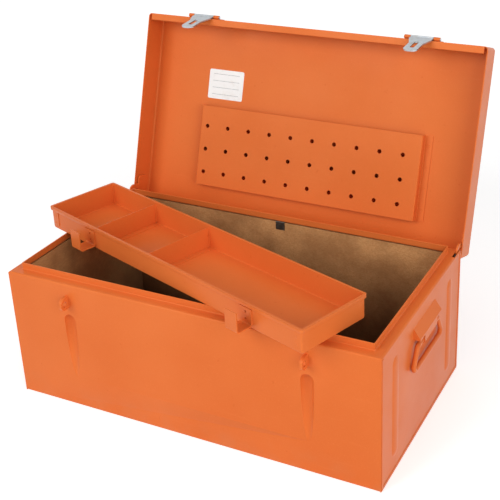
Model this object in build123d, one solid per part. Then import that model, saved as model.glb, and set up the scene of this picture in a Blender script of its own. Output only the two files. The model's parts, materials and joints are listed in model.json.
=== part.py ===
"""Folded sheet steel tool chest: lined body, swing lid, lift-out tray.

Frame: millimetres, +Z up, +Y to the back, origin under the middle of the body.
The lid is drawn shut and then turned open about its hinge line, so that every
clearance of the shut chest can be read straight from the numbers below.
"""
import os
from build123d import *
from math import atan2, degrees

# Outer sizes of the folded body and of the lid
WIDTH = 690.0
DEPTH = 375.0
BODY_HEIGHT = 243.0
LID_DEPTH = 54.0

# Sheet, bends and the gap between pieces that only rest on each other
SHEET = 1.2
BEND = 2.6
SEAT = 0.3

# Rim of the body: a flat ledge and an upstand that the lid covers
LEDGE = 19.0
UPSTAND = 12.0
LIP = 6.0
SEAM = 0.2

# Padlock recesses pressed into the front: round on top, fading out below
LOCK_X = 0.3232 * WIDTH
FLUTE_RADIUS = 11.5
FLUTE_LOW = 60.0
FLUTE_HIGH = 185.0

# Welded padlock eyes
EYE_THICK = 5.0
EYE_OUT = 20.0
EYE_LOW = 200.0
EYE_HIGH = 222.0
EYE_HOLE = 5.0

# Pressed ribs of the end panels
RIB_Y = 129.0
RIB_WIDTH = 26.0
RIB_RISE = 3.0
RIB_LOW = 30.0
RIB_HIGH = 214.0

# Hardboard lining
BOARD = 3.2
BOARD_INSET_X = 14.5
BOARD_INSET_Y = 14.0
BOARD_TOP_GAP = 2.0
CLIP_WIDTH = 18.0
CLIP_DROP = 17.0

# Lid hinge: two goose-neck arms on pins inside the rear corners
LID_OPEN = 108.0
HINGE_IN = 7.5
HINGE_DOWN = 11.5
PIN_RADIUS = 2.5
PIN_PLAY = 0.05
ARM_THICK = 3.0
ARM_INSET = 2.6
ARM_EYE = 5.4
NECK_WIDTH = 8.4
NECK_PATH = ((0.0, 0.0), (-8.0, -3.5), (-16.0, -3.0), (-19.2, 3.0), (-19.5, 26.0))
SWING_RELIEF = 14.2
SLOT_FRONT = 24.6
SLOT_REAR = 5.9
SLOT_WIDE = 5.0

# Lid details
LID_EDGE = 5.0
LID_CORNER = 6.5
LID_FLANGE = 12.0

# Perforated tool panel inside the lid
PANEL_LEFT = -224.0
PANEL_RIGHT = 237.0
PANEL_NEAR = 48.0
PANEL_FAR = 206.0
PANEL_LIFT = 15.3
PANEL_FOOT = 15.0
PANEL_HOLE = 4.1
PANEL_PITCH = 45.8
PANEL_COLUMNS = 10
PANEL_ROWS = 3
PANEL_FIRST_X = -209.0
PANEL_FIRST_V = 74.4

# Hasps on the lid's front wall
HASP_PIN = 1.6
HASP_KNUCKLE = 3.6
HASP_OUT = 4.0
HASP_UP = 8.0
HASP_LENGTH = 70.0
HASP_ROOT = 42.0
HASP_TIP = 26.0
HASP_THICK = 2.5
HASP_SLOT = 8.0
HASP_SLOT_LOW = 56.5
HASP_SLOT_HIGH = 26.5
HASP_DROOP = 22.0
LEAF_HALF = 33.0
LEAF_THICK = 1.5
LEAF_TOP = 34.0
LEAF_RIVET_X = 22.0
LEAF_RIVET_UP = 26.0

# Drop handles on the end panels: a splayed bail in a hooded strap
HANDLE_Z = 186.0
WIRE = 4.2
STRAP = 1.8
ROLL_HALF = 29.0
HOOD_HALF = 51.5
HOOD_HIGH = 217.0
HOOD_LOW = 200.0
CHEEK_LOW = 197.3
BAIL_TOP = 48.0
BAIL_FOOT = 70.0
BAIL_DROP = 40.0
BAIL_CORNER = 8.0
STRAP_RIVET_Y = 18.0
STRAP_RIVETS_UP = (11.5, 19.0)

# Lift-out tray
TRAY_LENGTH = 644.0
TRAY_WIDTH = 143.0
TRAY_HEIGHT = 43.0
TRAY_FLANGE = 3.0
TRAY_SHEET = 1.0
TRAY_CORNER = 3.0
TRAY_BEND = 2.5
TRAY_X = -38.0
TRAY_Y = -72.0
TRAY_YAW = -18.6
DIVIDERS = (0.207, 0.436)
DIVIDER_HEIGHT = 38.0
BRACKET_X = 201.0
BRACKET_WIDTH = 26.0
BRACKET_SHEET = 2.0
BRACKET_REACH = 31.0
BRACKET_LIP = 35.0
BRACKET_LOW = 6.0
BRACKET_LEAF = 34.0
BRACKET_RIVETS_UP = (15.0, 27.0)

# Rivets
RIVET = 2.0
RIVET_PLAY = 0.1
RIVET_HEAD = 3.6
RIVET_RISE = 1.2

# Lines that several pieces share
HALF_X = WIDTH / 2
HALF_Y = DEPTH / 2
HINGE_Y = HALF_Y - HINGE_IN
HINGE_Z = BODY_HEIGHT - HINGE_DOWN
HINGE = Axis((0, HINGE_Y, HINGE_Z), (1, 0, 0))
HASP_Y = -HALF_Y - HASP_OUT
HASP_Z = BODY_HEIGHT + HASP_UP
HASP_AXIS = Axis((0, HASP_Y, HASP_Z), (1, 0, 0))
HANDLE_OUT = 2 * (WIRE + PIN_PLAY + STRAP)
HANDLE_X = HALF_X + HANDLE_OUT / 2
LID_RIM = BODY_HEIGHT + SEAT
LID_TOP = BODY_HEIGHT + LID_DEPTH
TRAY_BASE = BODY_HEIGHT + UPSTAND + SEAT
SIDES = {"left": -1, "right": 1}


def block(x0, x1, y0, y1, z0, z1):
    """Box between two corners."""
    centre = Pos((x0 + x1) / 2, (y0 + y1) / 2, (z0 + z1) / 2)
    return centre * Box(abs(x1 - x0), abs(y1 - y0), abs(z1 - z0))


def rod(axis, centre, radius, length):
    """Cylinder along X, Y or Z about a centre point."""
    turns = {"X": Rot(0, 90, 0), "Y": Rot(90, 0, 0), "Z": Rot(0, 0, 0)}
    return Pos(*centre) * turns[axis] * Cylinder(radius, length)


def capsule(x, y, low, high, radius, reach):
    """Upright round-ended bar whose ends are cut off by a flat reach wide."""
    tip = reach
    bar = Pos(x, y, (low + high) / 2) * Cylinder(radius, high - low - 2 * tip)
    bar += Pos(x, y, low + tip) * Sphere(radius)
    bar += Pos(x, y, high - tip) * Sphere(radius)
    return bar


def scoop(x, radius):
    """Leaning round bar: sunk to its middle on top, flush with the front below."""
    top = FLUTE_HIGH - FLUTE_RADIUS
    fall = top - FLUTE_LOW
    lean = degrees(atan2(FLUTE_RADIUS, fall))
    bar = Sphere(radius) + Pos(0, 0, -0.6 * fall) * Cylinder(radius, 1.2 * fall)
    return Pos(x, -HALF_Y, top) * Rot(-lean, 0, 0) * bar


def folded(points, plane, width, thick, radius):
    """Sheet of one thickness bent along a line and as wide as given."""
    line = FilletPolyline(*points, radius=radius)
    face = plane * trace(line, line_width=thick)
    return extrude(face, amount=width / 2, both=True)


def mirrored(part, side):
    """The same piece for the left side when side is -1."""
    if side > 0:
        return part
    return mirror(part, about=Plane.YZ)


def front_wedge(side):
    """Region in front of, or behind, the mitre lines of the corners."""
    over = 10.0
    tip = HALF_X - HALF_Y
    corners = (
        (-HALF_X - over, side * (HALF_Y + over)),
        (HALF_X + over, side * (HALF_Y + over)),
        (tip, 0),
        (-tip, 0),
    )
    face = make_face(Polyline(*corners, close=True))
    return Pos(0, 0, LIP) * extrude(face, amount=BODY_HEIGHT + UPSTAND)


def end_wedge():
    """Region beyond the mitre lines at the right end."""
    over = 10.0
    corners = (
        (HALF_X + over, -HALF_Y - over),
        (HALF_X + over, HALF_Y + over),
        (HALF_X - HALF_Y, 0),
    )
    face = make_face(Polyline(*corners, close=True))
    return Pos(0, 0, LIP) * extrude(face, amount=BODY_HEIGHT + UPSTAND)


def arm_slot():
    """Slot in the right end's ledge that the hinge arm swings in."""
    x0 = HALF_X - SHEET - SLOT_WIDE
    x1 = HALF_X - SHEET
    return block(x0, x1, HINGE_Y - SLOT_FRONT, HINGE_Y + SLOT_REAR, BODY_HEIGHT - 6, BODY_HEIGHT + 2)


def body_shell():
    """Front, floor and back in one sheet with ledges, lips and recesses."""
    mid = SHEET / 2
    outer = HALF_Y - mid
    inner = HALF_Y - LEDGE + mid
    top = BODY_HEIGHT + UPSTAND
    ledge = BODY_HEIGHT - mid
    points = (
        (-inner, top), (-inner, ledge), (-outer, ledge), (-outer, mid),
        (outer, mid), (outer, ledge), (inner, ledge), (inner, top),
    )
    wrap = folded(points, Plane.YZ, WIDTH, SHEET, BEND)
    keep = front_wedge(-1) + front_wedge(1)
    keep += block(-HALF_X, HALF_X, -HALF_Y, HALF_Y, 0, LIP)
    wrap = wrap & keep
    for side in SIDES.values():
        x0 = side * HALF_X
        x1 = side * (HALF_X - SHEET)
        wrap += block(x0, x1, -HALF_Y, HALF_Y, 0, LIP)
        wrap -= mirrored(arm_slot(), side)
    for side in SIDES.values():
        x = side * LOCK_X
        dish = scoop(x, FLUTE_RADIUS + SHEET)
        wrap += dish & block(x - 30, x + 30, -HALF_Y + mid, -HALF_Y + 30, 0, BODY_HEIGHT)
        wrap -= scoop(x, FLUTE_RADIUS)
    return wrap


def end_panel(side):
    """End wall with its ledge, upstand, two pressed ribs and the arm slot."""
    mid = SHEET / 2
    outer = HALF_X - mid
    inner = HALF_X - LEDGE + mid
    ledge = BODY_HEIGHT - mid
    points = ((inner, BODY_HEIGHT + UPSTAND), (inner, ledge), (outer, ledge), (outer, LIP + SEAM))
    panel = folded(points, Plane.XZ, DEPTH, SHEET, BEND) & end_wedge()
    ball = ((RIB_WIDTH / 2) ** 2 + RIB_RISE ** 2) / (2 * RIB_RISE)
    for y in (-RIB_Y, RIB_Y):
        x = HALF_X + RIB_RISE - ball
        skin = capsule(x, y, RIB_LOW, RIB_HIGH, ball, RIB_WIDTH / 2)
        panel += skin & block(HALF_X - mid, HALF_X + 9, y - 30, y + 30, RIB_LOW - 9, RIB_HIGH + 9)
        core = capsule(x, y, RIB_LOW, RIB_HIGH, ball - SHEET, RIB_WIDTH / 2)
        panel -= core & block(HALF_X - 3 * SHEET, HALF_X + 9, y - 30, y + 30, RIB_LOW - 9, RIB_HIGH + 9)
    panel -= arm_slot()
    for y, z in handle_rivet_places():
        panel -= rod("X", (HALF_X, y, z), RIVET + RIVET_PLAY, 8)
    return mirrored(panel, side)


def floor_board():
    """Hardboard floor that the four wall boards stand on."""
    x = HALF_X - BOARD_INSET_X
    y = HALF_Y - BOARD_INSET_Y
    return block(-x, x, -y, y, SHEET, SHEET + BOARD)


def wall_board(name):
    """One of the four hardboard walls, held under the ledge."""
    x = HALF_X - BOARD_INSET_X
    y = HALF_Y - BOARD_INSET_Y
    low = SHEET + BOARD
    high = BODY_HEIGHT - SHEET - BOARD_TOP_GAP
    if name == "front":
        return block(-x, x, -y, -y + BOARD, low, high)
    if name == "back":
        return block(-x, x, y - BOARD, y, low, high)
    side = SIDES[name]
    return block(side * (x - BOARD), side * x, -y + BOARD, y - BOARD, low, high)


def liner_clip(side):
    """Steel clip under the ledge that keeps the board against the wall."""
    thick = SHEET
    board = HALF_Y - BOARD_INSET_Y - BOARD
    z = BODY_HEIGHT - SHEET - thick / 2
    y = board - thick / 2
    points = ((HALF_Y - 6, z), (y, z), (y, BODY_HEIGHT - SHEET - CLIP_DROP))
    clip = folded(points, Plane.YZ, CLIP_WIDTH, thick, 1.2)
    if side > 0:
        return clip
    return mirror(clip, about=Plane.XZ)


def padlock_eye(side):
    """Upright eye welded to the front over a recess."""
    tall = EYE_HIGH - EYE_LOW
    face = Rectangle(EYE_OUT, tall)
    face = fillet(face.vertices().group_by(Axis.X)[0], EYE_OUT * 0.5)
    face -= Pos(-1, 0) * Circle(EYE_HOLE)
    plate = extrude(Plane.YZ * face, amount=EYE_THICK / 2, both=True)
    return Pos(side * LOCK_X, -HALF_Y - EYE_OUT / 2, (EYE_LOW + EYE_HIGH) / 2) * plate


def pivot_pin(side):
    """Hinge stud welded inside the end wall, with a collar and a head."""
    wall = HALF_X - SHEET
    arm_out = HALF_X - ARM_INSET
    arm_in = arm_out - ARM_THICK
    pin = rod("X", ((wall + arm_in - 2) / 2, HINGE_Y, HINGE_Z), PIN_RADIUS, wall - arm_in + 2)
    collar = wall - arm_out - SEAT
    pin += rod("X", (wall - collar / 2, HINGE_Y, HINGE_Z), PIN_RADIUS + 1.8, collar)
    pin += rod("X", (arm_in - 0.4 - 0.9, HINGE_Y, HINGE_Z), PIN_RADIUS + 2.0, 1.8)
    return mirrored(pin, side)


def handle_rivet_places():
    """Depth and height of the four rivets of one strap."""
    return [(y, HANDLE_Z + up) for y in (-STRAP_RIVET_Y, STRAP_RIVET_Y) for up in STRAP_RIVETS_UP]


def end_prism(points, half):
    """Outline given by distance from the end wall and height, half to each side."""
    face = make_face(Polyline(*points, close=True))
    return Pos(HALF_X, 0, 0) * extrude(Plane.XZ * face, amount=half, both=True)


def handle_plate(side):
    """Strap rolled round the bail, with a sloping hood and two cheeks."""
    steep = (HOOD_HIGH - HOOD_LOW) / HANDLE_OUT
    drop = STRAP * (1 + steep ** 2) ** 0.5
    eave = HOOD_LOW - drop
    outer = ((0, HOOD_HIGH), (HANDLE_OUT, HOOD_LOW), (HANDLE_OUT, eave), (0, CHEEK_LOW))
    inner = ((0, HOOD_HIGH - drop), (HANDLE_OUT, eave), (HANDLE_OUT, HANDLE_Z), (0, HANDLE_Z))
    plate = end_prism(outer, HOOD_HALF) - end_prism(inner, HOOD_HALF - STRAP)
    front = HALF_X + HANDLE_OUT
    plate += block(front - STRAP, front, -ROLL_HALF, ROLL_HALF, HANDLE_Z, HOOD_LOW - 1)
    plate += block(HALF_X, HALF_X + STRAP, -ROLL_HALF, ROLL_HALF, HANDLE_Z, HOOD_HIGH - 5)
    plate += rod("Y", (HANDLE_X, 0, HANDLE_Z), HANDLE_OUT / 2, 2 * ROLL_HALF)
    plate -= rod("Y", (HANDLE_X, 0, HANDLE_Z), WIRE + PIN_PLAY, 2 * ROLL_HALF + 2)
    for y, z in handle_rivet_places():
        plate -= rod("X", (HALF_X, y, z), RIVET + RIVET_PLAY, 8)
    return mirrored(plate, side)


def handle_bail(side):
    """Closed bail of thick wire that splays out below the strap."""
    plane = Plane(origin=(HANDLE_X, 0, HANDLE_Z), x_dir=(0, 1, 0), z_dir=(1, 0, 0))
    corners = ((-BAIL_TOP, 0), (BAIL_TOP, 0), (BAIL_FOOT, -BAIL_DROP), (-BAIL_FOOT, -BAIL_DROP))
    loop = make_face(Polyline(*corners, close=True))
    loop = plane * fillet(loop.vertices(), BAIL_CORNER)
    path = loop.face().outer_wire()
    start = Plane(origin=path @ 0, z_dir=path % 0)
    bail = sweep(start * Circle(WIRE), path=path)
    return mirrored(bail, side)


def rivet(grip):
    """Rivet along X: shank, outer dome and inner head; grip is the sheets."""
    ball = (RIVET_HEAD ** 2 + RIVET_RISE ** 2) / (2 * RIVET_RISE)
    dome = Pos(RIVET_RISE - ball, 0, 0) * Sphere(ball)
    piece = dome & block(0, RIVET_HEAD, -9, 9, -9, 9)
    piece += rod("X", (-grip / 2, 0, 0), RIVET, grip)
    piece += rod("X", (-grip - 0.5, 0, 0), RIVET_HEAD - 0.6, 1.0)
    return piece


def handle_rivets():
    """Eight rivets that hold the two handle straps."""
    group = []
    for side in SIDES.values():
        for y, z in handle_rivet_places():
            one = Pos(HALF_X + STRAP, y, z) * rivet(STRAP + SHEET)
            group.append(mirrored(one, side))
    return group


def opened(part):
    """Turn a piece of the shut lid to the open pose."""
    return part.rotate(HINGE, -LID_OPEN)


def leaf_rivet_places():
    """Offsets along the leaf and heights of its rivets, lid shut."""
    return [(dx, BODY_HEIGHT + LEAF_RIVET_UP) for dx in (-LEAF_RIVET_X, LEAF_RIVET_X)]


def lid_pan():
    """Deep-folded lid with rounded edges and a return flange in front."""
    body = block(-HALF_X, HALF_X, -HALF_Y, HALF_Y, LID_RIM, LID_TOP)
    body = fillet(body.edges().filter_by(Axis.Z), LID_CORNER)
    body = fillet(body.faces().sort_by(Axis.Z)[-1].edges(), LID_EDGE)
    rim = body.faces().sort_by(Axis.Z)[0]
    pan = offset(body, amount=-SHEET, openings=rim)
    end = HALF_X - LID_CORNER
    pan += block(-end, end, -HALF_Y + SHEET / 2, -HALF_Y + LID_FLANGE, LID_RIM, LID_RIM + SHEET)
    pan -= rod("X", (0, HINGE_Y, HINGE_Z), SWING_RELIEF, WIDTH + 2)
    for side in SIDES.values():
        for dx, z in leaf_rivet_places():
            pan -= rod("Y", (side * LOCK_X + dx, -HALF_Y, z), RIVET + RIVET_PLAY, 8)
    return opened(pan)


def tool_panel():
    """Perforated panel on two stepped feet, spot welded inside the lid."""
    top = LID_TOP - SHEET - SHEET / 2
    face = top - PANEL_LIFT
    points = (
        (PANEL_LEFT - PANEL_FOOT, top), (PANEL_LEFT, top), (PANEL_LEFT, face),
        (PANEL_RIGHT, face), (PANEL_RIGHT, top), (PANEL_RIGHT + PANEL_FOOT, top),
    )
    panel = folded(points, Plane.XZ, PANEL_FAR - PANEL_NEAR, SHEET, 2.0)
    panel = Pos(0, HALF_Y - (PANEL_FAR + PANEL_NEAR) / 2, 0) * panel
    holes = []
    for column in range(PANEL_COLUMNS):
        for row in range(PANEL_ROWS):
            x = PANEL_FIRST_X + column * PANEL_PITCH
            y = HALF_Y - PANEL_FIRST_V - row * PANEL_PITCH
            holes.append(rod("Z", (x, y, face), PANEL_HOLE, 6))
    return opened(panel - holes)


def hinge_arm(side):
    """Goose-neck arm: eye, hooked neck and a pad welded in the lid."""
    neck = trace(FilletPolyline(*NECK_PATH, radius=5.5), line_width=NECK_WIDTH)
    pad = Pos(-25, 34.5) * RectangleRounded(32, 29, 7)
    outline = neck + Circle(ARM_EYE) + pad - Circle(PIN_RADIUS + PIN_PLAY)
    frame = Plane(origin=(HALF_X - ARM_INSET - ARM_THICK, HINGE_Y, HINGE_Z), x_dir=(0, 1, 0), z_dir=(1, 0, 0))
    arm = extrude(frame * outline, amount=ARM_THICK)
    pack = frame.offset(ARM_THICK) * Pos(-25, 34.5) * RectangleRounded(28, 25, 5)
    arm += extrude(pack, amount=ARM_INSET - SHEET)
    return opened(mirrored(arm, side))


def hasp_leaf(side):
    """Hinge leaf riveted to the lid's front wall with two knuckles."""
    x = side * LOCK_X
    free = HASP_ROOT / 2 + 0.6
    leaf = block(-LEAF_HALF, LEAF_HALF, -HALF_Y - LEAF_THICK, -HALF_Y, HASP_Z, BODY_HEIGHT + LEAF_TOP)
    leaf = fillet(leaf.edges().filter_by(Axis.Y).group_by(Axis.Z)[-1], 6)
    leaf += rod("X", (0, HASP_Y, HASP_Z), HASP_KNUCKLE, 2 * LEAF_HALF)
    leaf -= block(-free, free, HASP_Y - 9, HASP_Y + 9, HASP_Z - 9, HASP_Z + HASP_KNUCKLE + 0.6)
    leaf -= rod("X", (0, HASP_Y, HASP_Z), HASP_PIN, 2 * LEAF_HALF + 2)
    for dx, z in leaf_rivet_places():
        leaf -= rod("Y", (dx, -HALF_Y, z), RIVET + RIVET_PLAY, 8)
    return opened(Pos(x, 0, 0) * leaf)


def hasp_pin(side):
    """Pin through both knuckles of a leaf."""
    x = side * LOCK_X
    pin = rod("X", (x, HASP_Y, HASP_Z), HASP_PIN, 2 * LEAF_HALF)
    for end in (-1, 1):
        pin += rod("X", (x + end * (LEAF_HALF + 0.6), HASP_Y, HASP_Z), HASP_PIN + 0.8, 1.2)
    return opened(pin)


def hasp(side):
    """Slotted hasp plate with its rolled knuckle, hanging on its stop."""
    root = HASP_ROOT / 2
    tip = HASP_TIP / 2
    outline = Polyline(
        (-root, 0), (-root, -12), (-tip, -34), (-tip, -HASP_LENGTH),
        (tip, -HASP_LENGTH), (tip, -34), (root, -12), (root, 0), close=True,
    )
    face = make_face(outline)
    face = fillet(face.vertices().group_by(Axis.Y)[0], 10)
    slot_mid = -(HASP_SLOT_LOW + HASP_SLOT_HIGH) / 2
    slot_long = HASP_SLOT_LOW - HASP_SLOT_HIGH
    face -= Pos(0, slot_mid) * RectangleRounded(HASP_SLOT, slot_long, HASP_SLOT / 2 - 0.2)
    frame = Plane(origin=(0, HASP_Y + 0.4, HASP_Z), x_dir=(1, 0, 0), z_dir=(0, -1, 0))
    plate = extrude(frame * face, amount=HASP_THICK)
    plate += rod("X", (0, HASP_Y, HASP_Z), HASP_KNUCKLE, HASP_ROOT)
    plate -= rod("X", (0, HASP_Y, HASP_Z), HASP_PIN + PIN_PLAY, HASP_ROOT + 2)
    plate = Pos(side * LOCK_X, 0, 0) * plate
    return opened(plate.rotate(HASP_AXIS, HASP_DROOP))


def leaf_rivets():
    """Four rivets that hold the two hasp leaves."""
    group = []
    grip = LEAF_THICK + SHEET
    for side in SIDES.values():
        for dx, z in leaf_rivet_places():
            one = rivet(grip).rotate(Axis.Z, -90)
            group.append(opened(Pos(side * LOCK_X + dx, -HALF_Y - LEAF_THICK, z) * one))
    return group


def placed(part):
    """Put a piece of the tray askew across the rim of the body."""
    return Pos(TRAY_X, TRAY_Y, TRAY_BASE) * Rot(0, 0, TRAY_YAW) * part


def bracket_rivet_places():
    """Offsets along the tray and heights of the bracket rivets."""
    return [(side * BRACKET_X, up) for side in (-1, 1) for up in BRACKET_RIVETS_UP]


def tray_pan():
    """Tray folded up from one sheet, with a narrow outward rim."""
    long = TRAY_LENGTH - 2 * TRAY_FLANGE
    wide = TRAY_WIDTH - 2 * TRAY_FLANGE
    body = Pos(0, 0, TRAY_HEIGHT / 2) * Box(long, wide, TRAY_HEIGHT)
    body = fillet(body.edges().filter_by(Axis.Z), TRAY_CORNER)
    body = fillet(body.faces().sort_by(Axis.Z)[0].edges(), TRAY_BEND)
    mouth = body.faces().sort_by(Axis.Z)[-1]
    pan = offset(body, amount=-TRAY_SHEET, openings=mouth)
    rim = RectangleRounded(TRAY_LENGTH, TRAY_WIDTH, TRAY_CORNER + TRAY_FLANGE / 2)
    rim -= RectangleRounded(long - TRAY_SHEET, wide - TRAY_SHEET, TRAY_CORNER - TRAY_SHEET / 2)
    pan += Pos(0, 0, TRAY_HEIGHT - TRAY_SHEET) * extrude(rim, amount=TRAY_SHEET)
    for x, z in bracket_rivet_places():
        pan -= rod("Y", (x, -wide / 2, z), RIVET + RIVET_PLAY, 8)
    return placed(pan)


def tray_divider(share):
    """Cross wall with rounded lower corners and a foot."""
    wide = TRAY_WIDTH - 2 * TRAY_FLANGE - 2 * TRAY_SHEET - 0.4
    x = (share - 0.5) * TRAY_LENGTH
    face = Rectangle(wide, DIVIDER_HEIGHT)
    face = fillet(face.vertices().group_by(Axis.Y)[0], 6)
    wall = extrude(Plane.YZ * face, amount=TRAY_SHEET)
    wall = Pos(x, 0, TRAY_SHEET + DIVIDER_HEIGHT / 2) * wall
    wall += block(x, x + 12, -wide / 2 + 8, wide / 2 - 8, TRAY_SHEET, 2 * TRAY_SHEET)
    return placed(wall)


def tray_bracket(side):
    """J-shaped strap outside the tray's front wall."""
    wall = -(TRAY_WIDTH / 2 - TRAY_FLANGE)
    y = wall - BRACKET_SHEET / 2
    lip = wall - BRACKET_REACH
    points = ((y, BRACKET_LEAF), (y, BRACKET_LOW), (lip, BRACKET_LOW), (lip, BRACKET_LOW + BRACKET_LIP))
    strap = folded(points, Plane.YZ, BRACKET_WIDTH, BRACKET_SHEET, 4)
    strap = Pos(side * BRACKET_X, 0, 0) * strap
    for x, z in bracket_rivet_places():
        strap -= rod("Y", (x, wall, z), RIVET + RIVET_PLAY, 8)
    return placed(strap)


def bracket_rivets():
    """Four rivets that hold the tray brackets."""
    group = []
    wall = -(TRAY_WIDTH / 2 - TRAY_FLANGE)
    grip = BRACKET_SHEET + TRAY_SHEET
    for x, z in bracket_rivet_places():
        one = rivet(grip).rotate(Axis.Z, -90)
        group.append(placed(Pos(x, wall - BRACKET_SHEET, z) * one))
    return group


def save(name, part):
    """Write one node as a STEP file."""
    if isinstance(part, list):
        part = Compound(children=part)
    export_step(part, "parts/" + name + ".step")


os.makedirs("parts", exist_ok=True)
save("body_shell", body_shell())
save("floor_board", floor_board())
for place in ("front", "back", "left", "right"):
    save(place + "_board", wall_board(place))
save("liner_clip_front", liner_clip(-1))
save("liner_clip_back", liner_clip(1))
for label, sign in SIDES.items():
    save("end_panel_" + label, end_panel(sign))
    save("padlock_eye_" + label, padlock_eye(sign))
    save("pivot_pin_" + label, pivot_pin(sign))
    save("handle_plate_" + label, handle_plate(sign))
    save("handle_bail_" + label, handle_bail(sign))
    save("hinge_arm_" + label, hinge_arm(sign))
    save("hasp_leaf_" + label, hasp_leaf(sign))
    save("hasp_pin_" + label, hasp_pin(sign))
    save("hasp_" + label, hasp(sign))
    save("tray_bracket_" + label, tray_bracket(sign))
save("handle_rivets", handle_rivets())
save("lid_pan", lid_pan())
save("tool_panel", tool_panel())
save("hasp_rivets", leaf_rivets())
save("tray_pan", tray_pan())
save("tray_divider_short", tray_divider(DIVIDERS[0]))
save("tray_divider_long", tray_divider(DIVIDERS[1]))
save("bracket_rivets", bracket_rivets())
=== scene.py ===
"""Looks of the folded steel tool chest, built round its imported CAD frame.

The CAD nodes keep their places and shapes. Each gets a painted, zinc plated,
sprung or hardboard finish, and the thin trim that a press and a welder leave
behind is added as mesh: spot welds, hemmed rims, seams and the lid's label.
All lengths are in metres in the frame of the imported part.
"""

import json
import logging
import math
from dataclasses import dataclass, field
from enum import Enum

import bmesh
import bpy
from mathutils import Matrix, Vector

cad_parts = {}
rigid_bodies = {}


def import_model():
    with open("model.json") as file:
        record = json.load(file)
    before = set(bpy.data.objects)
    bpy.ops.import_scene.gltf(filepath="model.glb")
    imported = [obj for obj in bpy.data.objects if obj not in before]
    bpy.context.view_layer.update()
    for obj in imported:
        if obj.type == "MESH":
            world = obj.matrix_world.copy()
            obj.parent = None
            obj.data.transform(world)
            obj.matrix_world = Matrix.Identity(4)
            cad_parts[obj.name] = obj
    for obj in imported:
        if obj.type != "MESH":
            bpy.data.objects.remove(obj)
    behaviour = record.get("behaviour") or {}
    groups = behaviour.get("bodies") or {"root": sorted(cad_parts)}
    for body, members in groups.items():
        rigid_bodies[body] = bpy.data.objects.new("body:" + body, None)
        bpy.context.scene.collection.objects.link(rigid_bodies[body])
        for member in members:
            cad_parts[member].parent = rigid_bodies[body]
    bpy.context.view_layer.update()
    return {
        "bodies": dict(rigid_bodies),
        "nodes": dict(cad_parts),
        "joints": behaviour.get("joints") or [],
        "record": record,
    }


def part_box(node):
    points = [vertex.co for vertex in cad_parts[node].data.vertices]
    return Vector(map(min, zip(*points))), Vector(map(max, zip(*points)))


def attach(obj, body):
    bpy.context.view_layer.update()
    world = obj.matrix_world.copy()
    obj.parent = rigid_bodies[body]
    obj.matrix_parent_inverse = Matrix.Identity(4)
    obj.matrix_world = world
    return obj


log = logging.getLogger("tool_chest")

SMOOTH_ANGLE = math.radians(32)
LEAST_MITRE = 0.5


class Body(Enum):
    """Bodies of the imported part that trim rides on."""

    CHEST = "chest"
    LID = "lid"
    TRAY = "tray"


class Slot(Enum):
    """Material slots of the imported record."""

    PAINT = "orange_paint"
    HARDBOARD = "hardboard"
    ZINC = "zinc_steel"
    DARK = "dark_steel"


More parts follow.
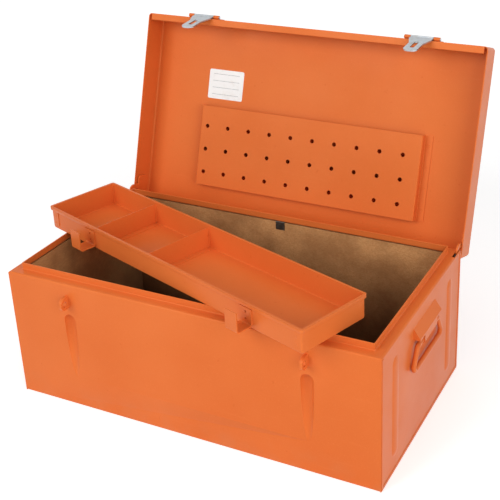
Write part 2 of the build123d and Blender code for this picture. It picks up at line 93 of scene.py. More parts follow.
class Graph:
    """Short way to write a shader's nodes and links."""

    def __init__(self, name: str) -> None:
        """Make an empty material with its shader and output.

        Args:
            name: Name of the new material.
        """
        self.material = bpy.data.materials.new(name)
        self.material.use_nodes = True
        self.tree = self.material.node_tree
        self.tree.nodes.clear()
        self.shader = self.add("ShaderNodeBsdfPrincipled")
        output = self.add("ShaderNodeOutputMaterial")
        self.join(self.shader.outputs["BSDF"], output.inputs["Surface"])
        self.place = self.add("ShaderNodeTexCoord").outputs["Object"]

    def add(self, kind: str, **values: object) -> bpy.types.Node:
        """Add a node and set its inputs by name.

        Args:
            kind: Blender's name for the node type.
            values: Input names, with spaces as underscores, and their values.

        Returns:
            The new node.
        """
        node = self.tree.nodes.new(kind)
        for name, value in values.items():
            node.inputs[name.replace("_", " ")].default_value = value
        return node

    def join(self, source: bpy.types.NodeSocket, target: bpy.types.NodeSocket) -> None:
        """Link an output to an input."""
        self.tree.links.new(source, target)

    def stretched(self, scale: tuple[float, float, float]) -> bpy.types.NodeSocket:
        """Object coordinates scaled along each axis.

        Args:
            scale: Factors along X, Y and Z.

        Returns:
            The mapped vector.
        """
        mapping = self.add("ShaderNodeMapping")
        mapping.inputs["Scale"].default_value = scale
        self.join(self.place, mapping.inputs["Vector"])
        return mapping.outputs["Vector"]

    def noise(
        self,
        scale: float,
        detail: float = 2.0,
        rough: float = 0.5,
        vector: bpy.types.NodeSocket | None = None,
    ) -> bpy.types.NodeSocket:
        """Noise at a scale in cycles per metre.

        Args:
            scale: Frequency of the noise.
            detail: Octaves.
            rough: Weight of the finer octaves.
            vector: Coordinates, or None for the object's own.

        Returns:
            The noise's factor.
        """
        node = self.add("ShaderNodeTexNoise", Scale=scale, Detail=detail, Roughness=rough)
        self.join(vector or self.place, node.inputs["Vector"])
        return node.outputs["Fac"]

    def cells(self, scale: float) -> bpy.types.NodeSocket:
        """Voronoi cells at a scale in cycles per metre.

        Args:
            scale: Frequency of the cells.

        Returns:
            Distance from the middle of the cell.
        """
        node = self.add("ShaderNodeTexVoronoi", Scale=scale)
        self.join(self.place, node.inputs["Vector"])
        return node.outputs["Distance"]

    def span(
        self,
        source: bpy.types.NodeSocket,
        low: float,
        high: float,
        to_low: float,
        to_high: float,
    ) -> bpy.types.NodeSocket:
        """Map one range of values to another, clamped.

        Args:
            source: Value to map.
            low: Start of the range read.
            high: End of the range read.
            to_low: Start of the range written.
            to_high: End of the range written.

        Returns:
            The mapped value.
        """
        node = self.add(
            "ShaderNodeMapRange",
            From_Min=low, From_Max=high, To_Min=to_low, To_Max=to_high,
        )
        self.join(source, node.inputs["Value"])
        return node.outputs["Result"]

    def times(
        self,
        first: bpy.types.NodeSocket,
        second: bpy.types.NodeSocket,
    ) -> bpy.types.NodeSocket:
        """Multiply two values.

        Args:
            first: One value.
            second: The other.

        Returns:
            Their product.
        """
        node = self.add("ShaderNodeMath")
        node.operation = "MULTIPLY"
        self.join(first, node.inputs[0])
        self.join(second, node.inputs[1])
        return node.outputs[0]

    def tint(
        self,
        factor: bpy.types.NodeSocket,
        first: bpy.types.NodeSocket | tuple[float, float, float],
        second: tuple[float, float, float],
    ) -> bpy.types.NodeSocket:
        """Mix two colours by a factor.

        Args:
            factor: Share of the second colour.
            first: Colour, or a socket that gives one.
            second: Colour that is mixed in.

        Returns:
            The mixed colour.
        """
        node = self.tree.nodes.new("ShaderNodeMix")
        node.data_type = "RGBA"
        self.join(factor, node.inputs[0])
        if isinstance(first, tuple):
            node.inputs[6].default_value = (*first, 1.0)
        else:
            self.join(first, node.inputs[6])
        node.inputs[7].default_value = (*second, 1.0)
        return node.outputs[2]

    def relief(
        self,
        height: bpy.types.NodeSocket,
        depth: float,
        strength: float,
        under: bpy.types.NodeSocket | None = None,
    ) -> bpy.types.NodeSocket:
        """Bump from a height, laid over another bump.

        Args:
            height: Height from 0 to 1.
            depth: Depth in metres at full height.
            strength: Strength of the bump.
            under: Normal that it is laid over.

        Returns:
            The bumped normal.
        """
        node = self.add("ShaderNodeBump", Strength=strength, Distance=depth)
        self.join(height, node.inputs["Height"])
        if under is not None:
            self.join(under, node.inputs["Normal"])
        return node.outputs["Normal"]

    def height_share(self, low: float, high: float) -> bpy.types.NodeSocket:
        """Share of the way up between two heights, 1 at the low one.

        Args:
            low: Height where the share is 1.
            high: Height where it is 0.

        Returns:
            The share.
        """
        parts = self.add("ShaderNodeSeparateXYZ")
        self.join(self.place, parts.inputs[0])
        return self.span(parts.outputs["Z"], low, high, 1.0, 0.0)


@dataclass(frozen=True)
class PaintFinish:
    """Satin stoved paint on folded sheet: orange peel, haze and soft rubs."""

    name: str = "orange_stoved_paint"
    colour: tuple[float, float, float] = (0.75, 0.172, 0.038)
    pale: tuple[float, float, float] = (0.81, 0.220, 0.062)
    deep: tuple[float, float, float] = (0.64, 0.115, 0.016)
    dust: tuple[float, float, float] = (0.52, 0.27, 0.15)
    gloss: tuple[float, float, float] = (1.0, 0.74, 0.50)
    roughness: tuple[float, float] = (0.28, 0.40)
    dust_height: float = 0.05
    specular: float = 0.18

    def build(self) -> bpy.types.Material:
        """Build the paint's material.

        Returns:
            The material.
        """
        g = Graph(self.name)
        cloud = g.span(g.noise(5.0, 3.0), 0.35, 0.65, 0.0, 0.35)
        colour = g.tint(cloud, self.colour, self.deep)
        fleck = g.span(g.noise(420.0, 2.0), 0.58, 0.72, 0.0, 0.22)
        colour = g.tint(fleck, colour, self.pale)
        rub = g.noise(1.0, 3.0, 0.6, g.stretched((14.0, 14.0, 160.0)))
        rub = g.span(rub, 0.63, 0.74, 0.0, 0.12)
        colour = g.tint(rub, colour, self.pale)
        speck = g.span(g.noise(95.0, 4.0, 0.65), 0.66, 0.74, 0.0, 0.55)
        colour = g.tint(speck, colour, self.deep)
        patches = g.span(g.noise(28.0, 4.0), 0.42, 0.70, 0.0, 0.18)
        foot = g.times(g.height_share(0.0, self.dust_height), patches)
        colour = g.tint(foot, colour, self.dust)
        g.join(colour, g.shader.inputs["Base Color"])
        shine = g.span(g.noise(11.0, 4.0, 0.6), 0.30, 0.70, *self.roughness)
        g.join(shine, g.shader.inputs["Roughness"])
        sag = g.relief(g.noise(6.5, 1.0), 0.004, 0.10)
        peel = g.relief(g.noise(620.0, 1.5, 0.4), 0.00035, 0.16, sag)
        g.join(peel, g.shader.inputs["Normal"])
        g.shader.inputs["Specular IOR Level"].default_value = self.specular
        g.shader.inputs["Specular Tint"].default_value = (*self.gloss, 1.0)
        return g.material


@dataclass(frozen=True)
class HardboardFinish:
    """Brown hardboard: pressed fibre with pale flecks and dark knots, and painted shade that darkens it
    towards its lower edge.
    """

    name: str = "hardboard_lining"
    colour: tuple[float, float, float] = (0.60, 0.275, 0.098)
    pale: tuple[float, float, float] = (0.74, 0.40, 0.165)
    dark: tuple[float, float, float] = (0.28, 0.110, 0.034)
    # Near-black colour of the painted shade at the lining's lower edge, and the height it reaches up to.
    painted_shade: tuple[float, float, float] = (0.065, 0.022, 0.007)
    painted_shade_height: float = 0.215
    specular: float = 0.3

    def build(self) -> bpy.types.Material:
        """Build the hardboard's material.

        Returns:
            The material.
        """
        g = Graph(self.name)
        fibre = g.noise(1.0, 5.0, 0.7, g.stretched((260.0, 90.0, 520.0)))
        colour = g.tint(g.span(fibre, 0.40, 0.62, 0.0, 0.75), self.colour, self.pale)
        matt = g.span(g.noise(16.0, 4.0, 0.6), 0.38, 0.62, 0.0, 0.50)
        colour = g.tint(matt, colour, self.dark)
        knot = g.span(g.noise(330.0, 3.0, 0.7), 0.62, 0.72, 0.0, 0.80)
        colour = g.tint(knot, colour, self.dark)
        # Painted shade: the lining goes near black towards its lower edge, in patches, where the inside of
        # the chest lies in shade.
        patches = g.span(g.noise(9.0, 4.0, 0.6), 0.30, 0.70, 0.78, 1.0)
        low = g.times(g.height_share(0.0, self.painted_shade_height), patches)
        colour = g.tint(low, colour, self.painted_shade)
        g.join(colour, g.shader.inputs["Base Color"])
        g.join(g.span(fibre, 0.3, 0.7, 0.62, 0.86), g.shader.inputs["Roughness"])
        rough = g.relief(fibre, 0.0006, 0.35)
        g.join(rough, g.shader.inputs["Normal"])
        g.shader.inputs["Specular IOR Level"].default_value = self.specular
        return g.material


@dataclass(frozen=True)
class ZincFinish:
    """Bright zinc plate over rolled steel, with a faint crystal pattern."""

    name: str = "zinc_plate"
    colour: tuple[float, float, float] = (0.54, 0.55, 0.55)
    blue: tuple[float, float, float] = (0.42, 0.46, 0.50)
    worn: tuple[float, float, float] = (0.33, 0.32, 0.30)
    metallic: float = 0.92

    def build(self) -> bpy.types.Material:
        """Build the plated steel's material.

        Returns:
            The material.
        """
        g = Graph(self.name)
        crystal = g.span(g.cells(190.0), 0.0, 0.6, 0.0, 0.7)
        colour = g.tint(crystal, self.colour, self.blue)
        worn = g.span(g.noise(85.0, 4.0, 0.65), 0.52, 0.68, 0.0, 0.60)
        colour = g.tint(worn, colour, self.worn)
        g.join(colour, g.shader.inputs["Base Color"])
        brushed = g.noise(1.0, 3.0, 0.6, g.stretched((60.0, 900.0, 900.0)))
        g.join(g.span(brushed, 0.3, 0.7, 0.28, 0.48), g.shader.inputs["Roughness"])
        grain = g.relief(brushed, 0.00012, 0.25)
        g.join(grain, g.shader.inputs["Normal"])
        g.shader.inputs["Metallic"].default_value = self.metallic
        return g.material


@dataclass(frozen=True)
class SpringFinish:
    """Blackened spring steel of the lining clips, rubbed brown."""

    name: str = "blackened_spring"
    colour: tuple[float, float, float] = (0.105, 0.080, 0.062)
    bare: tuple[float, float, float] = (0.25, 0.19, 0.14)
    metallic: float = 0.7

    def build(self) -> bpy.types.Material:
        """Build the blackened steel's material.

        Returns:
            The material.
        """
        g = Graph(self.name)
        rub = g.span(g.noise(240.0, 4.0, 0.7), 0.55, 0.70, 0.0, 0.8)
        g.join(g.tint(rub, self.colour, self.bare), g.shader.inputs["Base Color"])
        g.join(g.span(g.noise(120.0, 3.0), 0.3, 0.7, 0.35, 0.6), g.shader.inputs["Roughness"])
        g.join(g.relief(g.noise(700.0, 2.0), 0.0001, 0.3), g.shader.inputs["Normal"])
        g.shader.inputs["Metallic"].default_value = self.metallic
        return g.material


@dataclass(frozen=True)
class LabelFinish:
    """White film label with faint ruled lines to write on."""

    name: str = "white_film_label"
    paper: tuple[float, float, float] = (0.86, 0.86, 0.84)
    scuff: tuple[float, float, float] = (0.70, 0.66, 0.60)

    def build(self) -> bpy.types.Material:
        """Build the label's material.

        Returns:
            The material.
        """
        g = Graph(self.name)
        scuff = g.span(g.noise(70.0, 5.0, 0.7), 0.52, 0.72, 0.0, 0.5)
        g.join(g.tint(scuff, self.paper, self.scuff), g.shader.inputs["Base Color"])
        g.join(g.span(g.noise(40.0, 3.0), 0.3, 0.7, 0.32, 0.46), g.shader.inputs["Roughness"])
        g.join(g.relief(g.noise(180.0, 2.0), 0.0002, 0.12), g.shader.inputs["Normal"])
        return g.material


@dataclass(frozen=True)
class InkFinish:
    """Grey ink of the label's ruled lines."""

    name: str = "label_ink"
    colour: tuple[float, float, float] = (0.34, 0.35, 0.36)
    faded: tuple[float, float, float] = (0.60, 0.60, 0.58)
    roughness: float = 0.5

    def build(self) -> bpy.types.Material:
        """Build the ink's material.

        Returns:
            The material.
        """
        g = Graph(self.name)
        fade = g.span(g.noise(300.0, 3.0), 0.45, 0.65, 0.0, 0.8)
        g.join(g.tint(fade, self.colour, self.faded), g.shader.inputs["Base Color"])
        g.shader.inputs["Roughness"].default_value = self.roughness
        return g.material


def smooth(obj: bpy.types.Object) -> None:
    """Shade an object's curved faces smooth and keep its folds crisp.

    Args:
        obj: The object.
    """
    for polygon in obj.data.polygons:
        polygon.use_smooth = True
    obj.data.set_sharp_from_angle(angle=SMOOTH_ANGLE)


def dress(obj: bpy.types.Object, material: bpy.types.Material) -> None:
    """Give a whole object one material.

    Args:
        obj: The object.
        material: Its finish.
    """
    obj.data.materials.clear()
    obj.data.materials.append(material)


def mesh_piece(
    name: str,
    mesh: bmesh.types.BMesh,
    material: bpy.types.Material,
    body: Body,
) -> bpy.types.Object:
    """Turn a bmesh into a piece that rides on a body.

    Args:
        name: Name of the piece.
        mesh: Its geometry, which is freed.
        material: Its finish.
        body: The body it rides on.

    Returns:
        The new object.
    """
    bmesh.ops.recalc_face_normals(mesh, faces=mesh.faces)
    data = bpy.data.meshes.new(name)
    mesh.to_mesh(data)
    mesh.free()
    obj = bpy.data.objects.new(name, data)
    bpy.context.scene.collection.objects.link(obj)
    smooth(obj)
    dress(obj, material)
    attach(obj, body.value)
    log.info("piece %s on %s", name, body.value)
    return obj


def join_rings(
    mesh: bmesh.types.BMesh,
    rings: list[list[bmesh.types.BMVert]],
    closed: bool = False,
) -> None:
    """Join each ring of vertices to the next with faces.

    Args:
        mesh: Geometry to add to.
        rings: Rings with the same number of vertices.
        closed: Whether the last ring joins the first.
    """
    count = len(rings[0])
    for index in range(len(rings) if closed else len(rings) - 1):
        ring, following = rings[index], rings[(index + 1) % len(rings)]
        for step in range(count):
            after = (step + 1) % count
            mesh.faces.new((ring[step], ring[after], following[after], following[step]))


def rounded(low: Vector, high: Vector, corner: float, steps: int) -> list[Vector]:
    """Outline of a level rectangle with rounded corners.

    Args:
        low: Its corner of lowest X and Y, at the outline's height.
        high: Its corner of highest X and Y.
        corner: Radius of the corners.
        steps: Straight pieces in each corner.

    Returns:
        Points round the rectangle, anticlockwise as seen from above.
    """
    points = []
    centres = (
        (high.x - corner, high.y - corner), (low.x + corner, high.y - corner),
        (low.x + corner, low.y + corner), (high.x - corner, low.y + corner),
    )
    for quarter, (x, y) in enumerate(centres):
        for step in range(steps + 1):
            angle = math.radians(90.0 * (quarter + step / steps))
            ray = Vector((math.cos(angle), math.sin(angle), 0)) * corner
            points.append(Vector((x, y, low.z)) + ray)
    return points


def domed_disc(mesh: bmesh.types.BMesh, frame: Matrix, radius: float, rise: float, dish: float) -> None:
    """Add a low round dome with a dished middle, such as a spot weld.

    Args:
        mesh: Geometry to add to.
        frame: Place of the disc, its Z standing out of the sheet.
        radius: Outer radius.
        rise: Height of the ring.
        dish: Depth of the middle below the ring.
    """
    rings = ((1.0, -0.3), (0.92, 0.4), (0.72, 1.0), (0.45, 0.75))
    count = 20
    loops: list[list[bmesh.types.BMVert]] = []
    for share, lift in rings:
        loop = []
        for step in range(count):
            angle = step * math.tau / count
            ray = Vector((math.cos(angle), math.sin(angle), 0)) * (radius * share)
            loop.append(mesh.verts.new(frame @ (ray + Vector((0, 0, rise * lift)))))
        loops.append(loop)
    join_rings(mesh, loops)
    middle = mesh.verts.new(frame @ Vector((0, 0, rise - dish)))
    for step in range(count):
        mesh.faces.new((loops[-1][step], loops[-1][(step + 1) % count], middle))


def swept(
    mesh: bmesh.types.BMesh,
    path: list[Vector],
    section: list[tuple[float, float]],
    closed: bool = False,
) -> None:
    """Sweep a closed section along a path that lies level.

    Args:
        mesh: Geometry to add to.
        path: Points of the path, all at one height.
        section: Points of the section, outwards from the path and up.
        closed: Whether the path returns to its start.
    """
    rings = []
    last = len(path) - 1
    for index, point in enumerate(path):
        before = path[index - 1] if closed or index else point
        after = path[(index + 1) % len(path)] if closed or index < last else point
        ahead = (after - before).normalized()
        side = Vector((ahead.y, -ahead.x, 0))
        stretch = 1.0
        if after != point and before != point:
            stretch = 1.0 / max(LEAST_MITRE, math.cos((after - point).angle(point - before) / 2))
        ring = [point + side * (out * stretch) + Vector((0, 0, up)) for out, up in section]
        rings.append([mesh.verts.new(spot) for spot in ring])
    join_rings(mesh, rings, closed)
    if not closed:
        mesh.faces.new(rings[0])
        mesh.faces.new(rings[-1][::-1])


def upright_bead(
    mesh: bmesh.types.BMesh,
    place: Matrix,
    foot: Vector,
    radius: float,
    height: float,
) -> None:
    """Add an upright bead with tapered ends, such as a weld in a corner.

    Args:
        mesh: Geometry to add to.
        place: Frame that the bead is built in.
        foot: Middle of its lower end.
        radius: Radius at its middle.
        height: Its length.
    """
    count = 12
    rings = []
    swell = ((0.0, 0.35), (0.04, 0.8), (0.12, 1.0), (0.5, 0.9), (0.88, 1.0), (0.96, 0.8), (1.0, 0.35))
    for share, width in swell:
        ring = []
        for step in range(count):
            angle = step * math.tau / count
            out = Vector((math.cos(angle), math.sin(angle), 0)) * (radius * width)
            ring.append(mesh.verts.new(place @ (foot + out + Vector((0, 0, height * share)))))
        rings.append(ring)
    join_rings(mesh, rings)
    mesh.faces.new(rings[0][::-1])
    mesh.faces.new(rings[-1])


@dataclass
class LidFrame:
    """Plane of the open lid's inner face, worked out from its hinge and how far it opens.

    The local X runs along the hinge, Y up the lid from the hinge edge and Z out
    of the lid towards the rim.
    """

    open_angle: float = math.radians(108.0)
    depth: float = 0.054
    sheet: float = 0.0012
    hinge_in: float = 0.0075
    body_depth: float = 0.375
    rim_height: float = 0.243
    hinge_down: float = 0.0115

    def matrix(self) -> Matrix:
        """Place of the inner face's hinge edge in the part's frame.

        Returns:
            Matrix that takes local points to the open lid.
        """
        hinge = Vector((0, self.body_depth / 2 - self.hinge_in, self.rim_height - self.hinge_down))
        turn = Matrix.Rotation(-self.open_angle, 4, "X")
        place = Matrix.Translation(hinge) @ turn @ Matrix.Translation(-hinge)
        inner = Vector((0, self.body_depth / 2, self.rim_height + self.depth - self.sheet))
        axes = Matrix(((1, 0, 0, inner.x), (0, -1, 0, inner.y), (0, 0, -1, inner.z), (0, 0, 0, 1)))
        return place @ axes


@dataclass
class ToolPanelTrim:
    """Spot welds on the tool panel's two feet."""

    left: float = -0.224
    right: float = 0.237
    foot: float = 0.015
    across: float = 0.55
    near: float = 0.048
    far: float = 0.206
    rows: int = 4
    weld: float = 0.0030
    rise: float = 0.0005
    dish: float = 0.0004
    sheet: float = 0.0012

    def build(self, lid: LidFrame, paint: bpy.types.Material) -> None:
        """Add the welds.

        Args:
            lid: Frame of the open lid.
            paint: Finish of the welds.
        """
        mesh = bmesh.new()
        step = (self.far - self.near) / self.rows
        for x in (self.left - self.foot * self.across, self.right + self.foot * self.across):
            for row in range(self.rows):
                y = self.near + (row + 0.5) * step
                frame = lid.matrix() @ Matrix.Translation((x, y, self.sheet))
                domed_disc(mesh, frame, self.weld, self.rise, self.dish)
        mesh_piece("tool_panel_spot_welds", mesh, paint, Body.LID)


@dataclass
class LidLabel:
    """Blank film label stuck inside the lid."""

    left: float = -0.224
    right: float = -0.147
    low: float = 0.221
    high: float = 0.279
    thick: float = 0.0003
    corner: float = 0.003
    lines: int = 4
    margin: float = 0.009
    line_width: float = 0.0009
    ink_lift: float = 0.00006

    def outline(self) -> list[Vector]:
        """Outline with rounded corners, in the lid's frame."""
        low, high = Vector((self.left, self.low, 0)), Vector((self.right, self.high, 0))
        return rounded(low, high, self.corner, 4)

    def build(self, lid: LidFrame, film: bpy.types.Material, ink: bpy.types.Material) -> None:
        """Add the film and its ruled lines.

        Args:
            lid: Frame of the open lid.
            film: Finish of the label.
            ink: Finish of its lines.
        """
        place = lid.matrix()
        mesh = bmesh.new()
        foot = [mesh.verts.new(place @ p) for p in self.outline()]
        top = [mesh.verts.new(place @ (p + Vector((0, 0, self.thick)))) for p in self.outline()]
        mesh.faces.new(top)
        mesh.faces.new(foot[::-1])
        join_rings(mesh, [foot, top])
        mesh_piece("lid_label", mesh, film, Body.LID)
        rules = bmesh.new()
        gap = (self.high - self.low - 2 * self.margin) / (self.lines - 1)
        for line in range(self.lines):
            y = self.low + self.margin + line * gap
            corners = (
                (self.left + self.margin, y - self.line_width / 2),
                (self.right - self.margin, y - self.line_width / 2),
                (self.right - self.margin, y + self.line_width / 2),
                (self.left + self.margin, y + self.line_width / 2),
            )
            z = self.thick + self.ink_lift
            rules.faces.new([rules.verts.new(place @ Vector((x, v, z))) for x, v in corners])
        mesh_piece("lid_label_rules", rules, ink, Body.LID)


@dataclass
class RimHem:
    """Rounded hem along the top edge of the body's upstand."""

    bead: float = 0.0011
    segments: int = 10
    corner: float = 0.0012
    sit: float = 0.55
    ledge: float = 0.019

    def build(self, paint: bpy.types.Material) -> None:
        """Run a bead round the upstand of both end panels and the shell.

        Args:
            paint: Finish of the hem.
        """
        _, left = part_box("end_panel_left")
        right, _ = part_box("end_panel_right")
        front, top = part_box("body_shell")
        out = self.bead * self.sit
        y = front.y + self.ledge - out
        z = top.z - self.bead
        low, high = Vector((left.x - out, y, z)), Vector((right.x + out, -y, z))
        path = rounded(low, high, self.corner, 3)
        mesh = bmesh.new()
        rings = []
        for index, point in enumerate(path):
            ahead = path[(index + 1) % len(path)] - path[index - 1]
            side = Vector((ahead.y, -ahead.x, 0)).normalized()
            ring = []
            for step in range(self.segments):
                angle = step * math.tau / self.segments
                lift = Vector((0, 0, self.bead * math.sin(angle)))
                ring.append(mesh.verts.new(point + side * (self.bead * math.cos(angle)) + lift))
            rings.append(ring)
        join_rings(mesh, rings, closed=True)
        mesh_piece("rim_hem", mesh, paint, Body.CHEST)


@dataclass
class EndSeams:
    """Narrow lap of the wrapped sheet round the front, bottom and back edge of each end."""

    half_width: float = 0.345
    half_depth: float = 0.1875
    ledge: float = 0.243
    inset: float = 0.0016
    lap: float = 0.0052
    thick: float = 0.0009
    edge: float = 0.0003

    def build(self, paint: bpy.types.Material) -> None:
        """Add the laps of both ends.

        Args:
            paint: Finish of the laps.
        """
        wide = self.half_depth - self.inset
        top = self.ledge - 2 * self.inset
        corners = (
            (-wide, top, 1.0, 0.0), (-wide, self.inset, 1.0, 1.0),
            (wide, self.inset, -1.0, 1.0), (wide, top, -1.0, 0.0),
        )
        section = (
            (0.0, -self.edge), (0.0, self.thick - self.edge), (self.edge, self.thick),
            (self.lap - self.edge, self.thick), (self.lap, self.thick - self.edge), (self.lap, -self.edge),
        )
        mesh = bmesh.new()
        for side in (-1, 1):
            rings = []
            for y, z, in_y, in_z in corners:
                ring = []
                for across, up in section:
                    spot = (side * (self.half_width + up), y + in_y * across, z + in_z * across)
                    ring.append(mesh.verts.new(spot))
                rings.append(ring)
            join_rings(mesh, rings)
            mesh.faces.new(rings[0])
            mesh.faces.new(rings[-1][::-1])
        mesh_piece("end_panel_laps", mesh, paint, Body.CHEST)


@dataclass
class TrayTrim:
    """Hemmed rim, folded corner tabs, spot welds and seam beads of the lift-out tray.

    The local X runs along the tray and Y across it, both from its middle, and Z
    stands up from its underside.
    """

    place: tuple[float, float, float] = (-0.038, -0.072, 0.2553)
    yaw: float = math.radians(-18.6)
    length: float = 0.644
    width: float = 0.143
    height: float = 0.043
    flange: float = 0.003
    sheet: float = 0.001
    corner: float = 0.003
    sunk: float = 0.0003
    lap: float = 0.0009
    skin: float = 0.00002
    hem: float = 0.0062
    hem_thick: float = 0.0008
    hem_down: float = 0.0001
    hem_ease: float = 0.0002
    hem_fold: float = 0.0004
    tab: float = 0.019
    tab_high: float = 0.0360
    tab_low: float = 0.0035
    tab_slope: float = 0.004
    bead: float = 0.0013
    bead_short: float = 0.006
    corner_sit: float = 0.5
    wall_sit: float = 0.3
    dividers: tuple[float, float] = (0.207, 0.436)
    weld: float = 0.0026
    weld_up: tuple[float, float] = (0.30, 0.70)
    weld_in: float = 0.55
    rise: float = 0.0004
    dish: float = 0.00036

    def frame(self) -> Matrix:
        """Place of the tray's middle, where it lies askew on the rim.

        Returns:
            Matrix that takes local points to the part's frame.
        """
        return Matrix.Translation(self.place) @ Matrix.Rotation(self.yaw, 4, "Z")

    def rim_hem(self, paint: bpy.types.Material) -> None:
        """Fold the rim's outer edge down into a narrow hem.

        Args:
            paint: Finish of the hem.
        """
        turn = self.corner + self.flange / 2
        half = Vector((self.length / 2, self.width / 2, 0))
        path = rounded(-half, half, turn, 4)
        top = self.height - self.hem_down
        low = top - self.hem
        thin, ease, fold = self.hem_thick, self.hem_ease, self.hem_fold
        section = [
            (0.0, top - ease - fold), (-ease, top - ease), (-thin, top - ease), (-thin, low + fold),
            (-thin * 0.7, low), (-thin * 0.3, low), (0.0, low + fold),
        ]
        mesh = bmesh.new()
        swept(mesh, path, section, closed=True)
        mesh.transform(self.frame())
        mesh_piece("tray_rim_hem", mesh, paint, Body.TRAY)

    def corner_tabs(self, paint: bpy.types.Material) -> None:
        """Lap a tab of each end wall round the corner on to the long walls, with two welds.

        Args:
            paint: Finish of the tabs.
        """
        end, side = self.length / 2 - self.flange, self.width / 2 - self.flange
        tabs, welds = bmesh.new(), bmesh.new()
        for sx in (-1, 1):
            for sy in (-1, 1):
                flip = Matrix.Diagonal((sx, sy, 1, 1))
                self.one_tab(tabs, self.frame() @ flip, end, side)
                for up in self.weld_up:
                    z = self.tab_low + up * (self.tab_high - self.tab_low)
                    stand = Matrix.Translation((end - self.tab * self.weld_in, side + self.lap, z))
                    facing = stand @ Matrix.Rotation(math.radians(-90), 4, "X")
                    domed_disc(welds, self.frame() @ flip @ facing, self.weld, self.rise, self.dish)
        mesh_piece("tray_corner_tabs", tabs, paint, Body.TRAY)
        mesh_piece("tray_tab_spot_welds", welds, paint, Body.TRAY)

    def one_tab(self, mesh: bmesh.types.BMesh, place: Matrix, end: float, side: float) -> None:
        """Add one tab at the corner where both local axes are positive.

        Args:
            mesh: Geometry to add to.
            place: Frame of that corner.
            end: Distance of the end wall's face from the middle.
            side: Distance of the long wall's face from the middle.
        """
        turn = self.corner
        steps = 6
        inner, outer = [], []
        for step in range(steps + 1):
            angle = math.radians(90.0 * step / steps)
            thick = self.lap * step / steps
            ray = Vector((math.cos(angle), math.sin(angle), 0))
            middle = Vector((end - turn, side - turn, 0))
            inner.append(middle + ray * (turn - self.sunk))
            outer.append(middle + ray * (turn + thick + self.skin))
        inner.append(Vector((end - self.tab, side - self.sunk, 0)))
        outer.append(Vector((end - self.tab, side + self.lap, 0)))
        lows = [self.tab_low] * (steps + 1) + [self.tab_low + self.tab_slope]
        rings = []
        for near, far, low in zip(inner, outer, lows):
            spots = ((near, low), (far, low), (far, self.tab_high), (near, self.tab_high))
            rings.append([mesh.verts.new(place @ (p + Vector((0, 0, z)))) for p, z in spots])
        join_rings(mesh, rings)
        mesh.faces.new(rings[0])
        mesh.faces.new(rings[-1][::-1])

    def seams(self, paint: bpy.types.Material) -> None:
        """Run seam beads up the inner corners and beside the dividers.

        Args:
            paint: Finish of the beads.
        """
        in_corner, in_wall = self.bead * self.corner_sit, self.bead * self.wall_sit
        end = self.length / 2 - self.flange - self.sheet - in_corner
        wall = self.width / 2 - self.flange - self.sheet
        mesh = bmesh.new()
        spots = [(x, y) for x in (-end, end) for y in (in_corner - wall, wall - in_corner)]
        for share in self.dividers:
            x = (share - 0.5) * self.length
            for y in (wall - in_wall, in_wall - wall):
                spots += [(x - in_wall, y), (x + self.sheet + in_wall, y)]
        for x, y in spots:
            foot = Vector((x, y, self.sheet))
            upright_bead(mesh, self.frame(), foot, self.bead, self.height - self.bead_short)
        mesh_piece("tray_seam_beads", mesh, paint, Body.TRAY)

    def build(self, paint: bpy.types.Material) -> None:
        """Add all of the tray's trim.

        Args:
            paint: Finish of the trim.
        """
        self.rim_hem(paint)
        self.corner_tabs(paint)
        self.seams(paint)


@dataclass
class LidRim:
    """Rolled hem along the free edges of the lid's return flange and end walls."""

    half_width: float = 0.3385
    depth: float = 0.375
    drop: float = 0.0514
    inset: float = 0.0118
    radius: float = 0.0010
    wall: float = 0.3444
    corner: float = 0.0066

    def build(self, lid: LidFrame, paint: bpy.types.Material) -> None:
        """Add the hems, flush with the flange's open side.

        Args:
            lid: Frame of the open lid.
            paint: Finish of the hems.
        """
        section = []
        count = 12
        for step in range(count):
            angle = step * math.tau / count
            section.append((self.radius * math.cos(angle), self.radius * math.sin(angle)))
        y = self.depth - self.inset
        mesh = bmesh.new()
        swept(mesh, [Vector((side * self.half_width, y, self.drop)) for side in (-1, 1)], section)
        for side in (-1, 1):
            run = (self.corner, self.depth - self.corner)
            swept(mesh, [Vector((side * self.wall, along, self.drop)) for along in run], section)
        mesh.transform(lid.matrix())
        mesh_piece("lid_edge_hems", mesh, paint, Body.LID)


@dataclass
class Chest:
    """Dresses every CAD node of the chest and adds its trim."""

    paint: PaintFinish = field(default_factory=PaintFinish)
    board: HardboardFinish = field(default_factory=HardboardFinish)
    zinc: ZincFinish = field(default_factory=ZincFinish)
    spring: SpringFinish = field(default_factory=SpringFinish)
    label: LabelFinish = field(default_factory=LabelFinish)
    ink: InkFinish = field(default_factory=InkFinish)

    def finish_nodes(self, frame: dict) -> dict[str, bpy.types.Material]:
        """Give each CAD node the finish of its slot.

        Args:
            frame: The loaded frame.

        Returns:
            The finishes by slot name.
        """
        finishes = {
            Slot.PAINT.value: self.paint.build(),
            Slot.HARDBOARD.value: self.board.build(),
            Slot.ZINC.value: self.zinc.build(),
            Slot.DARK.value: self.spring.build(),
        }
        for part in frame["record"]["subparts"]:
            obj = frame["nodes"][part["node"]]
            dress(obj, finishes[part["material_slot"]])
            smooth(obj)
            log.info("node %s: %s", part["node"], part["material_slot"])
        return finishes

    def build(self, frame: dict) -> None:
        """Dress the nodes and add the trim.

        Args:
            frame: The loaded frame.
        """
        finishes = self.finish_nodes(frame)
        paint = finishes[Slot.PAINT.value]
        lid = LidFrame()
        ToolPanelTrim().build(lid, paint)
        LidLabel().build(lid, self.label.build(), self.ink.build())
        LidRim().build(lid, paint)
        RimHem().build(paint)
        EndSeams().build(paint)
        TrayTrim().build(paint)


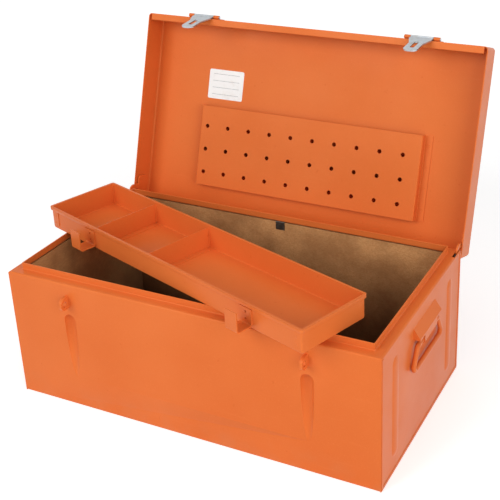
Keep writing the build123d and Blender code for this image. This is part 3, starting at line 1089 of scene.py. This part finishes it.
@dataclass
class Studio:
    """Floor, soft lights and the camera at the photograph's angle."""

    place: tuple[float, float, float] = (0.81224, -1.37772, 1.08560)
    azimuth: float = math.radians(-26.393)
    elevation: float = math.radians(23.521)
    roll: float = math.radians(-1.75)
    focal_pixels: float = 1036.46
    frame_pixels: float = 500.0
    centre: tuple[float, float] = (300.0, 180.0)
    sensor: float = 36.0
    clip_end: float = 60.0
    floor_size: float = 24.0
    floor_tone: float = 0.86
    floor_roughness: float = 0.9
    floor_specular: float = 0.1
    floor_fade: tuple[float, float] = (1.0, 3.6)
    floor_glow: tuple[float, float] = (0.48, 0.80)
    world_level: tuple[float, float] = (0.32, 1.0)
    aim: tuple[float, float, float] = (0.0, 0.05, 0.25)
    lamps: tuple[tuple[str, tuple[float, float, float], float, float], ...] = (
        ("key_lamp", (-1.3, -2.6, 2.0), 1.8, 53.0),
        ("fill_lamp", (2.4, -1.5, 1.3), 2.0, 44.0),
        ("top_lamp", (0.2, 0.4, 2.8), 2.0, 12.0),
    )

    def camera(self) -> None:
        """Place the camera that frames the chest as the photograph does."""
        data = bpy.data.cameras.new("camera")
        data.sensor_width = self.sensor
        data.lens = self.focal_pixels / self.frame_pixels * self.sensor
        data.shift_x = (self.frame_pixels / 2 - self.centre[0]) / self.frame_pixels
        data.shift_y = (self.centre[1] - self.frame_pixels / 2) / self.frame_pixels
        data.clip_end = self.clip_end
        cos_e = math.cos(self.elevation)
        level = Vector((math.sin(self.azimuth), math.cos(self.azimuth), 0)) * cos_e
        ahead = level - Vector((0, 0, math.sin(self.elevation)))
        right = ahead.cross(Vector((0, 0, 1))).normalized()
        up = right.cross(ahead)
        tilted = right * math.cos(self.roll) + up * math.sin(self.roll)
        top = up * math.cos(self.roll) - right * math.sin(self.roll)
        camera = bpy.data.objects.new("camera", data)
        turn = Matrix((tilted, top, -ahead)).transposed().to_4x4()
        camera.matrix_world = Matrix.Translation(self.place) @ turn
        bpy.context.scene.collection.objects.link(camera)
        bpy.context.scene.camera = camera

    def lamp(self, name: str, spot: Vector, aim: Vector, size: float, power: float) -> None:
        """Hang one square soft box.

        Args:
            name: Name of the lamp.
            spot: Where it hangs.
            aim: Point that it faces.
            size: Length of its side.
            power: Watts.
        """
        data = bpy.data.lights.new(name, "AREA")
        data.shape = "SQUARE"
        data.size = size
        data.energy = power
        lamp = bpy.data.objects.new(name, data)
        lamp.location = spot
        lamp.rotation_mode = "QUATERNION"
        lamp.rotation_quaternion = (aim - spot).to_track_quat("-Z", "Y")
        bpy.context.scene.collection.objects.link(lamp)

    def seen(self, tree: bpy.types.NodeTree) -> bpy.types.NodeSocket:
        """Share of a ray that is seen by the camera, in a mirror or through glass.

        Args:
            tree: Node tree that asks.

        Returns:
            1 for such a ray and 0 for one that only lights.
        """
        path = tree.nodes.new("ShaderNodeLightPath")
        share = path.outputs["Is Camera Ray"]
        for other in ("Is Glossy Ray", "Is Transmission Ray"):
            either = tree.nodes.new("ShaderNodeMath")
            either.operation = "MAXIMUM"
            tree.links.new(share, either.inputs[0])
            tree.links.new(path.outputs[other], either.inputs[1])
            share = either.outputs[0]
        return share

    def floor(self) -> None:
        """Lay the pale floor, which takes the chest's soft shadow."""
        bpy.ops.mesh.primitive_plane_add(size=self.floor_size, location=(0, 0, 0))
        floor = bpy.context.object
        floor.name = "studio_floor"
        g = Graph("studio_floor")
        g.shader.inputs["Base Color"].default_value = (*(self.floor_tone,) * 3, 1.0)
        g.shader.inputs["Roughness"].default_value = self.floor_roughness
        g.shader.inputs["Specular IOR Level"].default_value = self.floor_specular
        g.shader.inputs["Emission Color"].default_value = (1.0, 1.0, 1.0, 1.0)
        away = g.add("ShaderNodeVectorMath")
        away.operation = "LENGTH"
        g.join(g.place, away.inputs[0])
        fade = g.span(away.outputs["Value"], *self.floor_fade, *self.floor_glow)
        g.join(g.times(self.seen(g.tree), fade), g.shader.inputs["Emission Strength"])
        dress(floor, g.material)

    def world(self) -> None:
        """Set a white world that lights softly and shows as white."""
        world = bpy.data.worlds.new("studio_world")
        world.use_nodes = True
        tree = world.node_tree
        tree.nodes.clear()
        level = tree.nodes.new("ShaderNodeMapRange")
        level.inputs["To Min"].default_value, level.inputs["To Max"].default_value = self.world_level
        tree.links.new(self.seen(tree), level.inputs["Value"])
        back = tree.nodes.new("ShaderNodeBackground")
        back.inputs["Color"].default_value = (1.0, 1.0, 1.0, 1.0)
        tree.links.new(level.outputs["Result"], back.inputs["Strength"])
        out = tree.nodes.new("ShaderNodeOutputWorld")
        tree.links.new(back.outputs["Background"], out.inputs["Surface"])
        bpy.context.scene.world = world

    def build(self) -> None:
        """Set up the whole studio."""
        bpy.context.scene.view_settings.view_transform = "Standard"
        self.world()
        self.floor()
        for name, spot, size, power in self.lamps:
            self.lamp(name, Vector(spot), Vector(self.aim), size, power)
        self.camera()


def main() -> None:
    """Build the dressed chest and its studio."""
    logging.basicConfig(level=logging.INFO)
    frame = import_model()
    Chest().build(frame)
    Studio().build()


if __name__ == "__main__":
    main()
